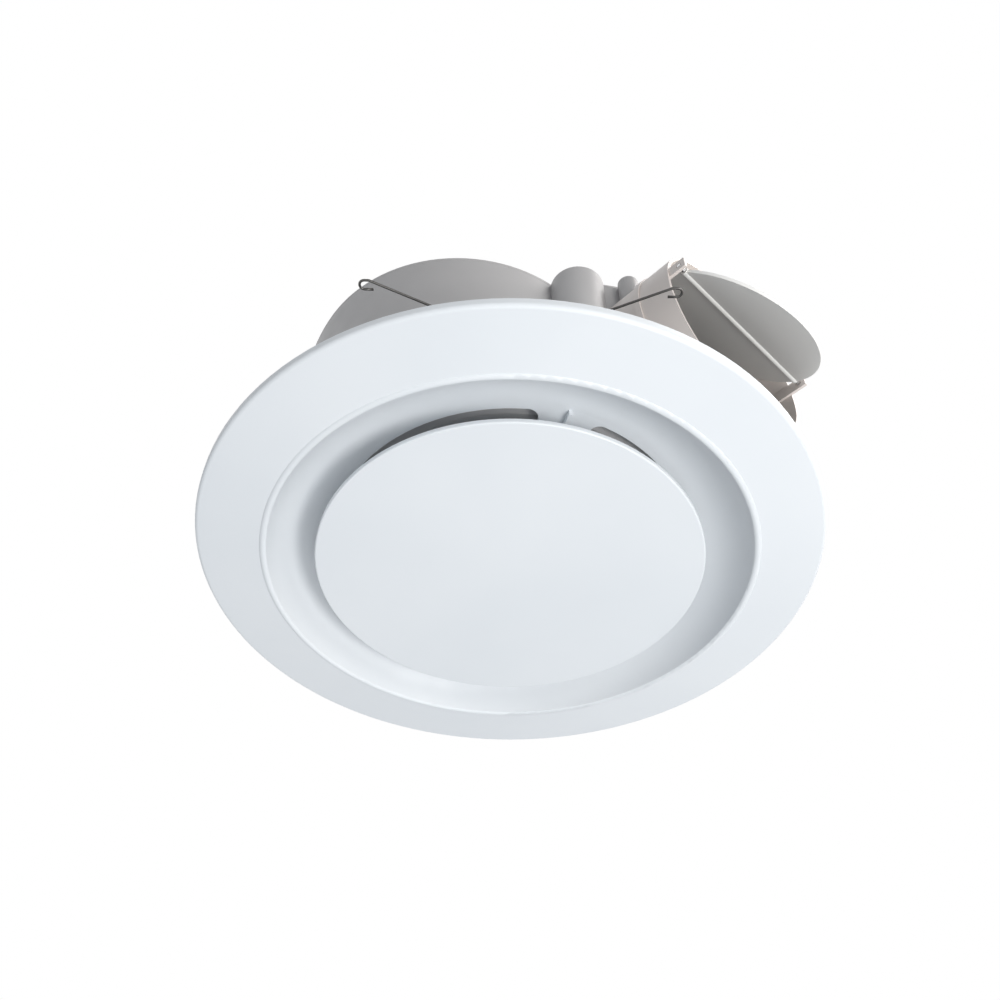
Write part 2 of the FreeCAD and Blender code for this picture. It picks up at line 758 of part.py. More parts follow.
# Motor
def make_motor_can():
    body = new_body("motor_can")
    revolve(body, [
        (CAN_INNER, CAN_BOTTOM),
        ("can_radius", CAN_BOTTOM),
        ("can_radius", CAN_TOP),
        ("0", CAN_TOP),
        ("0", CAN_CEILING),
        ("bearing_radius", CAN_CEILING),
        ("bearing_radius", CAN_CEILING + " - bearing_tall"),
        ("bearing_radius + bearing_seat_wall", CAN_CEILING + " - bearing_tall"),
        ("bearing_radius + bearing_seat_wall", CAN_CEILING),
        (CAN_INNER, CAN_CEILING),
    ])
    hole = new_sketch(body, "XY_Plane", CAN_CEILING + " - overrun")
    circle(hole, *polar(MOUNT_RING, "outlet_angle"), "screw_radius + slip_fit")
    repeat(body, pocket(body, hole, "can_wall + 2 * overrun"), "mount_count")
    return body


def make_end_bracket():
    body = new_body("motor_end_bracket")
    shelf = "(" + CAN_BOTTOM + " + can_wall)"
    shaft_hole = "(shaft_radius + bearing_seat_wall)"
    revolve(body, [
        (shaft_hole, CAN_BOTTOM),
        (CAN_INNER + " - slip_fit", CAN_BOTTOM),
        (CAN_INNER + " - slip_fit", shelf),
        ("bearing_radius + bearing_seat_wall", shelf),
        ("bearing_radius + bearing_seat_wall", shelf + " + bearing_tall"),
        ("bearing_radius", shelf + " + bearing_tall"),
        ("bearing_radius", shelf),
        (shaft_hole, shelf),
    ])
    return body


def sleeve(name, outer, inner, tall, z):
    """A plain ring standing at a height."""
    core = cylinder(name + "_core", inner, "%s + 2 * overrun" % tall, z="%s - overrun" % z)
    return cut(name, cylinder(name + "_outside", outer, tall, z=z), core)


def make_motor_insides():
    bore = "shaft_radius + running_fit"
    core_top = "(" + CORE_BOTTOM + " + core_tall)"
    coil_inner = "rotor_radius + coil_clear"
    coil_outer = CAN_INNER + " - coil_margin"
    bearing = "bearing_radius - slip_fit"
    sleeve("upper_bearing", bearing, bore, "bearing_tall", CAN_CEILING + " - bearing_tall")
    sleeve("lower_bearing", bearing, bore, "bearing_tall", CAN_BOTTOM + " + can_wall")
    sleeve("stator_core", CAN_INNER + " - slip_fit", "rotor_radius + air_gap", "core_tall", CORE_BOTTOM)
    sleeve("rotor", "rotor_radius", bore, "core_tall", CORE_BOTTOM)
    below = CORE_BOTTOM + " - coil_gap - coil_tall"
    group("windings", [
        sleeve("upper_coil", coil_outer, coil_inner, "coil_tall", core_top + " + coil_gap"),
        sleeve("lower_coil", coil_outer, coil_inner, "coil_tall", below),
    ])
    shaft = cylinder("motor_shaft", "shaft_radius", SHAFT_TOP + " - " + SHAFT_BOTTOM, z=SHAFT_BOTTOM)
    shaft.Label = "motor_shaft"
    nut = doc.addObject("Part::Prism", "nut_outside")
    nut.Polygon = 6
    bind(nut, Circumradius="nut_radius", Height="nut_tall")
    nut_foot = HUB_BOTTOM + " - nut_tall"
    put(nut, "0", "0", nut_foot)
    cut("impeller_nut", nut, cylinder("nut_bore", bore, "nut_tall + 2 * overrun", z=nut_foot + " - overrun"))


def make_motor_mounts():
    """Rubber mounts between the cover and the can, and the screws that hold them."""
    pads, screws = [], []
    gap = "mount_tall"
    for place, (x, y) in enumerate(ring_of("mount_count", MOUNT_RING, "outlet_angle")):
        name = "motor_mount_%d" % place
        outside = cylinder(name + "_outside", "mount_radius", gap, x, y, CAN_TOP)
        core = cylinder(name + "_core", "screw_radius + slip_fit", gap, x, y, CAN_TOP)
        pads.append(cut(name, outside, core))
        screws.append(screw("motor_screw_%d" % place, "cover_thick + can_wall + " + gap, x, y, COVER_TOP))
    group("motor_mounts", pads)
    group("motor_screws", screws)


# Outlet spigot, drawn with X along the outlet
def make_outlet_spigot():
    """A tube through the wall, with a stop ring for the duct and ears for the axle."""
    body = new_body("outlet_spigot")
    for start, radius, bore, length in (
            (NOTCH_X, "spigot_radius", BORE, MOUTH + " - " + NOTCH_X),
            (DRUM + " + stop_rise", "spigot_radius + stop_rise", BORE, "stop_long")):
        tube = new_sketch(body, "YZ_Plane", start)
        circle(tube, "spigot_offset", SPIGOT_Z, radius)
        circle(tube, "spigot_offset", SPIGOT_Z, bore)
        pad(body, tube, length)
    drum = circle(new_sketch(body, "XY_Plane"), "0", "0", DRUM + " + slip_fit")
    pocket(body, drum, HOUSING_FLOOR)
    ears = new_sketch(body, "YZ_Plane", MOUTH + " - ear_long")
    low, high = AXLE_Z + " - ear_half", AXLE_Z + " + ear_half"
    near, far = EAR_INNER, EAR_INNER + " + ear_thick"
    draw(ears, block("spigot_offset + " + near, low, "spigot_offset + " + far, high))
    draw(ears, block("spigot_offset - (%s)" % far, low, "spigot_offset - " + near, high))
    pad(body, ears, "ear_long + axle_reach + ear_half")
    hole = circle(new_sketch(body, "XZ_Plane"), AXLE_X, AXLE_Z, "axle_radius + pivot_fit")
    pierced = pocket(body, hole, "2 * (spigot_offset + spigot_radius + overrun)")
    pierced.Midplane = True
    doc.recompute()
    return turn_to_outlet(body)


def to_flap():
    """The flap's place: on its axle at the mouth, turned inward until it lies near the bore."""
    axle = shift(AXLE_X, "spigot_offset", AXLE_Z)
    return [spin(UP, "outlet_angle"), axle, spin(FreeCAD.Vector(0, 1, 0), "flap_tilt")]


def make_flap():
    """A round plate with its axle rib off its middle, so that it hangs closed."""
    half = "sqrt(" + FLAP_RADIUS + " ^ 2 - axle_rise ^ 2)"
    plate = cylinder("flap_plate", FLAP_RADIUS, "flap_thick", "0 - axle_rise", "0", "0 - flap_thick / 2")
    rib = cylinder("flap_rib_tube", "flap_rib", "2 * " + half, "0", "0 - " + half, "0", "y")
    bore = cylinder("flap_bore", "axle_radius + running_fit", "2 * " + half + " + 2 * overrun",
                    "0", "0 - overrun - " + half, "0", "y")
    flap = cut("draught_flap", join("flap_whole", plate, rib), bore)
    reach = "(" + EAR_INNER + " + ear_thick)"
    axle = cylinder("flap_axle", "axle_radius", "2 * " + reach)
    axle.Label = "flap_axle"
    doc.recompute()
    place_at(flap, *to_flap())
    lie_across = FreeCAD.Placement(FreeCAD.Vector(), TURNS["y"])
    place_at(axle, *to_flap(), shift("0", "0 - " + reach, "0"), lie_across)


def make_cover_screws():
    screws = []
    radius = COVER_SCREW_RING
    length = "cover_thick + cover_boss_deep - overrun"
    last = "(cover_boss_sweep * cover_boss_count / (cover_boss_count - 1))"
    first = "outlet_angle + cover_boss_first"
    for place, (x, y) in enumerate(ring_of("cover_boss_count", radius, first, last)):
        screws.append(screw("cover_screw_%d" % place, length, x, y, COVER_TOP))
    group("cover_screws", screws)


def make_fascia_screws():
    screws = []
    length = "floor_bottom - cone_flange_thick - " + FLOOR
    for place, (x, y) in enumerate(ring_of("slot_count", STUD_RING, "web_angle")):
        screws.append(screw("fascia_screw_%d" % place, length, x, y, FLOOR, "-z"))
    group("fascia_screws", screws)


# Wire clips that hold the fan up on the ceiling board
def rounded_path(spots, bends):
    """A wire along straight stretches, with an arc of the given radius at each inner spot."""
    edges, start = [], spots[0]
    for before, here, after, radius in zip(spots, spots[1:], spots[2:], bends):
        toward, away = (before - here).normalize(), (after - here).normalize()
        half = toward.getAngle(away) / 2
        reach, rise = radius / math.tan(half), radius / math.sin(half)
        middle = here + (toward + away).normalize() * (rise - radius)
        enter, leave = here + toward * reach, here + away * reach
        edges.append(Part.makeLine(start, enter))
        edges.append(Part.Arc(enter, middle, leave).toShape())
        start = leave
    edges.append(Part.makeLine(start, spots[-1]))
    return Part.Wire(edges)


def clip_path():
    """The clip's middle line, tail to tail, with X along its axle and Y away from the drum."""
    end = FreeCAD.Vector(number("axle_half"), 0, 0)
    tip = end + FreeCAD.Vector(number("arm_out"), number("arm_away"), 0)
    eye = tip + FreeCAD.Vector(number("eye_long"), 0, 0)
    # The eye is a hair wider than two bend radii, so a short straight joins its arcs
    back = eye - FreeCAD.Vector(0, 2 * number("loop_radius") + number("slip_fit"), 0)
    tail = back - FreeCAD.Vector(number("loop_tail"), 0, 0)
    right = [end, tip, eye, back, tail]
    left = [FreeCAD.Vector(-spot.x, spot.y, 0) for spot in reversed(right)]
    bend, loop = number("bend_radius"), number("loop_radius")
    return rounded_path(left + right, [loop, loop, loop, bend, bend, loop, loop, loop])


def make_clip(side, angle):
    """A wire clip and the bracket that its axle turns in."""
    path = clip_path()
    along = path.Edges[0].tangentAt(path.Edges[0].FirstParameter)
    ring = Part.Wire([Part.makeCircle(number("wire_radius"), path.Vertexes[0].Point, along)])
    clip = doc.addObject("Part::Feature", "wire_clip_" + side)
    clip.Shape = path.makePipeShell([ring], True, False)
    clip.Label = "wire_clip_" + side
    to_side = [spin(UP, "%s - 90" % angle)]
    place_at(clip, *to_side, shift("0", CLIP_AXLE, "clip_height"))
    name = "clip_bracket_" + side
    base = box(name + "_base", "2 * bracket_half", "3 * bracket_thick", "2 * bracket_half_tall",
               y=DRUM + " - bracket_thick / 2", z="clip_height - bracket_half_tall")
    pieces = [base]
    for hand in ("lug_half", "0 - lug_half"):
        pieces.append(box(name + "_lug", "lug_thick", "clip_reach + lug_half_tall", "2 * lug_half_tall", hand,
                          DRUM + " + (clip_reach + lug_half_tall) / 2", "clip_height - lug_half_tall"))
    drum = cylinder(name + "_drum", DRUM + " + slip_fit", "skirt_top + overrun")
    hole = cylinder(name + "_hole", "wire_radius + pivot_fit", "2 * bracket_half", "0 - bracket_half",
                    CLIP_AXLE, "clip_height", "x")
    bracket = cut(name, join(name + "_whole", *pieces), drum, hole)
    doc.recompute()
    place_at(bracket, *to_side)


# Terminal box on the cover, drawn with X along the outlet
def make_terminal_box():
    left, right = "(" + BOX_X + " - box_long / 2)", "(" + BOX_X + " + box_long / 2)"
    low, high = "(box_y - box_wide / 2)", "(box_y + box_wide / 2)"
    body = new_body("terminal_box")
    outside = new_sketch(body, "XY_Plane", COVER_TOP)
    draw(outside, block(left, low, right, high))
    pad(body, outside, "box_tall")
    inside = new_sketch(body, "XY_Plane", COVER_TOP + " + box_wall")
    draw(inside, block(
        left + " + box_wall", low + " + box_wall",
        right + " - box_wall", high + " - box_wall"))
    pocket(body, inside, "box_tall")
    for across in (left + " + box_corner", right + " - box_corner"):
        post = new_sketch(body, "XY_Plane", COVER_TOP)
        circle(post, across, "box_y", "box_corner")
        circle(post, across, "box_y", "screw_radius + slip_fit")
        pad(body, post, "box_tall")
    entry = new_sketch(body, "XZ_Plane", "0 - %s - box_wall - overrun" % low)
    circle(entry, BOX_X, COVER_TOP + " + box_tall / 2", "gland_thread + slip_fit")
    pocket(body, entry, "2 * (box_wall + overrun)")
    turn_to_outlet(body)
    lid = new_body("terminal_lid")
    plate = draw(new_sketch(lid, "XY_Plane", COVER_TOP + " + box_tall"), block(left, low, right, high))
    for across in (left + " + box_corner", right + " - box_corner"):
        circle(plate, across, "box_y", "screw_radius + slip_fit")
    pad(lid, plate, "lid_thick")
    turn_to_outlet(lid)


def make_terminal_fittings():
    floor = "(%s + box_wall)" % COVER_TOP
    base = box("block_base", "block_long", "block_wide", "block_tall", BOX_X, "box_y", floor)
    wells = []
    for place in range(int(number("terminal_count"))):
        step = "(%d - (terminal_count - 1) / 2) * block_long / terminal_count" % place
        wells.append(cylinder("block_well_%d" % place, "terminal_radius", "block_wide + 2 * overrun",
                              BOX_X + " + " + step, "box_y - block_wide / 2 - overrun",
                              floor + " + block_tall / 2", "y"))
    terminal_block = cut("terminal_block", base, *wells)
    low = "(box_y - box_wide / 2)"
    middle = "%s + box_tall / 2" % COVER_TOP
    nose = cylinder("gland_nose", "gland_radius", "gland_long", BOX_X, low + " - gland_long", middle, "y")
    thread = cylinder("gland_shank", "gland_thread", "3 * box_wall", BOX_X, low, middle, "y")
    bore = cylinder("gland_hole", "gland_bore", "gland_long + 3 * box_wall + 2 * overrun", BOX_X,
                    low + " - gland_long - overrun", middle, "y")
    gland = cut("cable_gland", join("gland_whole", nose, thread), bore)
    screws = []
    for place, hand in enumerate(("- box_long / 2 + box_corner", "+ box_long / 2 - box_corner")):
        screws.append(screw("lid_screw_%d" % place, "lid_thick + box_tall / 2", BOX_X + " " + hand, "box_y",
                            COVER_TOP + " + box_tall + lid_thick"))
    turn_to_outlet(group("lid_screws", screws))
    turn_to_outlet(terminal_block)
    turn_to_outlet(gland)


make_fascia()
make_centre_disc()
make_drum()
make_scroll_casing()
make_inlet_cone()
make_top_cover()
make_impeller()
make_motor_can()
make_end_bracket()
make_motor_insides()
make_motor_mounts()
make_outlet_spigot()
make_flap()
make_cover_screws()
make_fascia_screws()
make_clip("near", "clip_angle")
make_clip("far", "(clip_angle + 180)")
make_terminal_box()
make_terminal_fittings()
doc.recompute()

NODES = [
    "fascia", "centre_disc", "drum", "scroll_casing", "inlet_cone", "top_cover",
    "impeller_hub", "impeller_blades", "impeller_ring", "impeller_nut",
    "motor_can", "motor_end_bracket", "upper_bearing", "lower_bearing", "stator_core", "rotor",
    "windings", "motor_shaft", "motor_mounts", "motor_screws",
    "outlet_spigot", "draught_flap", "flap_axle", "cover_screws", "fascia_screws",
    "wire_clip_near", "wire_clip_far", "clip_bracket_near", "clip_bracket_far",
    "terminal_box", "terminal_lid", "terminal_block", "cable_gland", "lid_screws",
]
os.makedirs("parts", exist_ok=True)
for item in doc.Objects:
    if "Invalid" in item.State or "Error" in item.State:
        raise ValueError(item.Label + " did not build: " + str(item.State))
for label in NODES:
    shape = doc.getObjectsByLabel(label)[0].Shape
    if shape.isNull() or not shape.isValid():
        raise ValueError(label + " has no valid solid")
    shape.exportStep("parts/%s.step" % label)
    print(label, "solids", len(shape.Solids), "volume", round(shape.Volume))
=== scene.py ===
"""Dresses the round ceiling exhaust fan: moulded plastics, wire clips, fasteners and a white studio."""

import json
import logging
import math
from dataclasses import dataclass, field
from enum import Enum

import bmesh
import bpy
from mathutils import Matrix, Vector


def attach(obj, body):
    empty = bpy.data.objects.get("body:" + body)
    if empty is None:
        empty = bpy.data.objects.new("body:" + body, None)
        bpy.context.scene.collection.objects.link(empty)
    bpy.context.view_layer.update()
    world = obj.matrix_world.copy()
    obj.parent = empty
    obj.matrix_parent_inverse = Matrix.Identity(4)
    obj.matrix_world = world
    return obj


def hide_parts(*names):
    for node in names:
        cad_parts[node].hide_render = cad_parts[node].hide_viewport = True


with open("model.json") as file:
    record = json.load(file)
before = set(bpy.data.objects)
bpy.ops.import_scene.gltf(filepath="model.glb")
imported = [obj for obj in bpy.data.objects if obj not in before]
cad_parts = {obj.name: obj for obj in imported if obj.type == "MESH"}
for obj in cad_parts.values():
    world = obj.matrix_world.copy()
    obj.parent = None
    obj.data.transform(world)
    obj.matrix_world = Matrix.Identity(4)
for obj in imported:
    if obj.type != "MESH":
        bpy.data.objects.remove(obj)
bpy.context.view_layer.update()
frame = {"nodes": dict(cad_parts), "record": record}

log = logging.getLogger("exhaust_fan")
Colour = tuple[float, float, float]
Place = tuple[float, float, float]
MM = 0.001

# Vertices that lie nearer to each other than this are one.
MERGE = 0.001 * MM

# Most of a noise lies between these two values.
NOISE_LOW = 0.3
NOISE_HIGH = 0.7


class Body(Enum):
    """The bodies of the fan that new pieces ride on."""

    HOUSING = "housing"
    CLIP_NEAR = "clip_near"
    CLIP_FAR = "clip_far"


class NodeChain:
    """Adds shader nodes to one material and links them by socket name."""

    def __init__(self, name: str) -> None:
        """Start a material that has only a shader, its output and the object's coordinates.

        Args:
            name: the material's name.
        """
        self.material = bpy.data.materials.new(name)
        self.material.use_nodes = True
        self.tree = self.material.node_tree
        self.tree.nodes.clear()
        self.output = self.tree.nodes.new("ShaderNodeOutputMaterial")
        self.shader = self.add("ShaderNodeBsdfPrincipled")
        self.link(self.shader, "BSDF", self.output, "Surface")
        self.place = self.add("ShaderNodeTexCoord")

    def add(self, kind: str, **sockets: object) -> bpy.types.Node:
        """Add a node and set its input sockets.

        Args:
            kind: the node's type name.
            sockets: input names, with underscores for spaces, and their values.

        Returns:
            The new node.
        """
        node = self.tree.nodes.new(kind)
        for name, value in sockets.items():
            node.inputs[name.replace("_", " ")].default_value = value
        return node

    def link(self, source: bpy.types.Node, out: str, target: bpy.types.Node, into: str) -> None:
        """Join one node's output to another node's input.

        Args:
            source: the node that gives.
            out: the name of its output.
            target: the node that takes.
            into: the name of its input.
        """
        self.tree.links.new(source.outputs[out], target.inputs[into])

    def feed(self, source: bpy.types.Node, target: bpy.types.Node, into: str) -> None:
        """Join a texture's grey value, under either of its names, to another node's input.

        Args:
            source: the texture node.
            target: the node that takes.
            into: the name of its input.
        """
        out = "Factor" if "Factor" in source.outputs else "Fac"
        self.link(source, out, target, into)

    def noise(self, scale: float, detail: float = 4.0, stretch: Place = (1.0, 1.0, 1.0)) -> bpy.types.Node:
        """A noise on the object's own coordinates.

        Args:
            scale: waves per metre.
            detail: octaves of finer noise.
            stretch: how the coordinates are scaled along each axis first.

        Returns:
            The noise node.
        """
        mapping = self.add("ShaderNodeMapping", Scale=stretch)
        self.link(self.place, "Object", mapping, "Vector")
        node = self.add("ShaderNodeTexNoise", Scale=scale, Detail=detail)
        self.link(mapping, "Vector", node, "Vector")
        return node

    def spread(self, source: bpy.types.Node, low: float, high: float, into: str) -> None:
        """Map a noise to a range of values on a socket of the shader.

        Args:
            source: the noise node.
            low: the value at the noise's darker end.
            high: the value at its lighter end.
            into: the shader's socket.
        """
        ranged = self.add(
            "ShaderNodeMapRange", From_Min=NOISE_LOW, From_Max=NOISE_HIGH, To_Min=low, To_Max=high)
        self.feed(source, ranged, "Value")
        self.link(ranged, "Result", self.shader, into)

    def tint(self, source: bpy.types.Node, dark: Colour, light: Colour) -> None:
        """Colour the shader between two tones by a texture.

        Args:
            source: the texture node.
            dark: the tone at its darker end.
            light: the tone at its lighter end.
        """
        ramp = self.add("ShaderNodeValToRGB")
        stops = ramp.color_ramp.elements
        for stop, position, tone in zip(stops, (NOISE_LOW, NOISE_HIGH), (dark, light)):
            stop.position = position
            stop.color = (*tone, 1.0)
        self.feed(source, ramp, "Fac")
        self.link(ramp, "Color", self.shader, "Base Color")

    def bump(self, source: bpy.types.Node, depth: float, strength: float) -> None:
        """Raise the surface by a texture.

        Args:
            source: the texture node.
            depth: height of the relief in metres.
            strength: share of the relief that shows.
        """
        node = self.add("ShaderNodeBump", Strength=strength, Distance=depth)
        self.feed(source, node, "Height")
        self.link(node, "Normal", self.shader, "Normal")


@dataclass(frozen=True)
class Finish:
    """What every finish has: a name, two tones, and the record's slot where that has another name."""

    name: str
    dark: Colour
    light: Colour
    slot: str = field(default="", kw_only=True)

    def material(self) -> bpy.types.Material:
        """Each kind of finish builds its own material."""
        raise NotImplementedError


@dataclass(frozen=True)
class MouldedPlastic(Finish):
    """Moulded plastic with slow drifts of tone, a fine grain and uneven gloss."""

    gloss: tuple[float, float]
    grain: float = 2600.0
    relief: float = 0.03 * MM
    drift: float = 9.0
    shine: float = 0.45
    drift_detail: float = 3.0
    gloss_finer: float = 14.0
    gloss_detail: float = 5.0
    grain_detail: float = 3.0
    grain_strength: float = 0.35

    def material(self) -> bpy.types.Material:
        """Build the material.

        Returns:
            The finished material.
        """
        chain = NodeChain(self.name)
        chain.shader.inputs["Specular IOR Level"].default_value = self.shine
        chain.tint(chain.noise(self.drift, self.drift_detail), self.dark, self.light)
        sheen = chain.noise(self.drift * self.gloss_finer, self.gloss_detail)
        chain.spread(sheen, *self.gloss, "Roughness")
        chain.bump(chain.noise(self.grain, self.grain_detail), self.relief, self.grain_strength)
        return chain.material


@dataclass(frozen=True)
class WorkedMetal(Finish):
    """Metal with lines left by drawing, turning or plating."""

    gloss: tuple[float, float]
    lines: Place = (1.0, 1.0, 14.0)
    grain: float = 420.0
    relief: float = 0.02 * MM
    clouds: float = 60.0
    cloud_detail: float = 4.0
    line_detail: float = 5.0
    line_strength: float = 0.3

    def material(self) -> bpy.types.Material:
        """Build the material.

        Returns:
            The finished material.
        """
        chain = NodeChain(self.name)
        chain.shader.inputs["Metallic"].default_value = 1.0
        streaks = chain.noise(self.grain, self.line_detail, self.lines)
        chain.tint(chain.noise(self.clouds, self.cloud_detail), self.dark, self.light)
        chain.spread(streaks, *self.gloss, "Roughness")
        chain.bump(streaks, self.relief, self.line_strength)
        return chain.material


@dataclass(frozen=True)
class WoundCopper(Finish):
    """Enamelled copper wire laid in turns round the motor's axis."""

    pitch: float
    metal: float = 0.85
    waver: float = 0.6
    wave_detail: float = 2.0
    enamel: float = 300.0
    gloss: tuple[float, float] = (0.25, 0.42)
    relief: float = 0.2 * MM
    relief_strength: float = 0.8

    def material(self) -> bpy.types.Material:
        """Build the material.

        Returns:
            The finished material.
        """
        chain = NodeChain(self.name)
        chain.shader.inputs["Metallic"].default_value = self.metal
        turns = chain.add(
            "ShaderNodeTexWave", Scale=1.0 / self.pitch, Distortion=self.waver, Detail=self.wave_detail)
        turns.bands_direction = "Z"
        chain.link(chain.place, "Object", turns, "Vector")
        chain.tint(turns, self.dark, self.light)
        chain.spread(chain.noise(self.enamel), *self.gloss, "Roughness")
        chain.bump(turns, self.relief, self.relief_strength)
        return chain.material


WHITE_FACE = MouldedPlastic("white_face", (0.775, 0.81, 0.84), (0.82, 0.85, 0.875), (0.36, 0.46))
# Painted shade: this mid grey is the housing's pale plastic darkened to the shade that it sits in behind the
# fascia.
HOUSING = MouldedPlastic("housing_grey", (0.44, 0.432, 0.432), (0.50, 0.492, 0.492), (0.38, 0.5))
# Painted shade with a warm painted reflection: this pale beige is the spigot's pale plastic darkened and
# warmed to its tone in shade.
SPIGOT = MouldedPlastic(
    "spigot_beige", (0.70, 0.64, 0.605), (0.77, 0.71, 0.67), (0.36, 0.48), slot="housing_grey")
FLAP_GREY = MouldedPlastic("flap_grey", (0.82, 0.815, 0.79), (0.88, 0.875, 0.85), (0.35, 0.48))
WHEEL_GREY = MouldedPlastic("wheel_grey", (0.085, 0.088, 0.092), (0.115, 0.118, 0.122), (0.42, 0.55))
TERMINAL_WHITE = MouldedPlastic("terminal_white", (0.66, 0.645, 0.60), (0.72, 0.705, 0.66), (0.4, 0.5))
GLAND_BLACK = MouldedPlastic("gland_black", (0.018, 0.018, 0.02), (0.03, 0.03, 0.032), (0.4, 0.55))
RUBBER = MouldedPlastic(
    "rubber", (0.014, 0.014, 0.014), (0.026, 0.026, 0.026), (0.7, 0.85), grain=1800.0, relief=0.06 * MM)
MOTOR_STEEL = WorkedMetal("motor_steel", (0.36, 0.37, 0.38), (0.46, 0.47, 0.48), (0.38, 0.52))
CORE_STEEL = WorkedMetal(
    "core_steel", (0.2, 0.2, 0.205), (0.3, 0.3, 0.31), (0.45, 0.6), lines=(1.0, 1.0, 40.0), grain=300.0)
BRIGHT_STEEL = WorkedMetal("bright_steel", (0.56, 0.56, 0.57), (0.68, 0.68, 0.69), (0.2, 0.34))
SPRING_STEEL = WorkedMetal(
    "spring_steel", (0.07, 0.068, 0.066), (0.12, 0.117, 0.113), (0.3, 0.42), lines=(9.0, 9.0, 1.0))
COPPER = WoundCopper("copper", (0.32, 0.12, 0.05), (0.62, 0.29, 0.13), pitch=1.1 * MM)


class Dresser:
    """Gives finishes to nodes and new pieces, each finish made once."""

    def __init__(self) -> None:
        """Start with no finish made."""
        self.made: dict[str, bpy.types.Material] = {}

    def paint(self, thing: bpy.types.Object, finish: Finish) -> None:
        """Give an object one finish all over.

        Args:
            thing: the object.
            finish: its finish.
        """
        if finish.name not in self.made:
            self.made[finish.name] = finish.material()
        thing.data.materials.clear()
        thing.data.materials.append(self.made[finish.name])
        log.info("%s has the finish %s", thing.name, finish.name)

    def nodes(self, finish: Finish, *names: str) -> None:
        """Give carried-over nodes their finish.

        Args:
            finish: their finish.
            names: the nodes' names.
        """
        for name in names:
            self.paint(frame["nodes"][name], finish)

    def pieces(self, finish: Finish, *things: bpy.types.Object) -> None:
        """Give new pieces their finish.

        Args:
            finish: their finish.
            things: the pieces.
        """
        for thing in things:
            self.paint(thing, finish)


def merged_copy(node: str) -> bmesh.types.BMesh:
    """Copy a node's shape and merge its loose triangles.

    Args:
        node: the node's name.

    Returns:
        The copy.
    """
    work = bmesh.new()
    work.from_mesh(frame["nodes"][node].data)
    bmesh.ops.remove_doubles(work, verts=work.verts, dist=MERGE)
    return work


def settle(name: str, work: bmesh.types.BMesh, body: Body, *nodes: str) -> bpy.types.Object:
    """Turn a finished bmesh into a smooth piece that rides on a body and stands for nodes.

    Args:
        name: the piece's name.
        work: its shape, which is freed here.
        body: the body that carries it.
        nodes: the nodes that it stands for.

    Returns:
        The new piece.
    """
    mesh = bpy.data.meshes.new(name)
    for face in work.faces:
        face.smooth = True
    work.to_mesh(mesh)
    work.free()
    thing = bpy.data.objects.new(name, mesh)
    bpy.context.scene.collection.objects.link(thing)
    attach(thing, body.value)
    if nodes:
        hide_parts(*nodes)
    log.info("%s rides on %s with %d faces", name, body.value, len(mesh.polygons))
    return thing


@dataclass
class Moulding:
    """A node's own shape, with its sharp edges rounded as a mould leaves them."""

    node: str
    edge: float
    flat: float = math.radians(0.4)
    sharp: float = math.radians(38.0)
    steps: int = 2
    face_weight: int = 50

    def build(self) -> bpy.types.Object:
        """Copy the node's shape and round its edges.

        Returns:
            The rounded piece.
        """
        work = merged_copy(self.node)
        bmesh.ops.dissolve_limit(work, angle_limit=self.flat, verts=work.verts, edges=work.edges)
        thing = settle(self.node + "_moulding", work, Body.HOUSING, self.node)
        rounding = thing.modifiers.new("rounding", "BEVEL")
        rounding.width = self.edge
        rounding.segments = self.steps
        rounding.limit_method = "ANGLE"
        rounding.angle_limit = self.sharp
        rounding.use_clamp_overlap = False
        evening = thing.modifiers.new("evening", "WEIGHTED_NORMAL")
        evening.weight = self.face_weight
        return thing


class Facing(Enum):
    """Which way a screw's head looks, as a turn about X."""

    UP = 0.0
    DOWN = math.pi


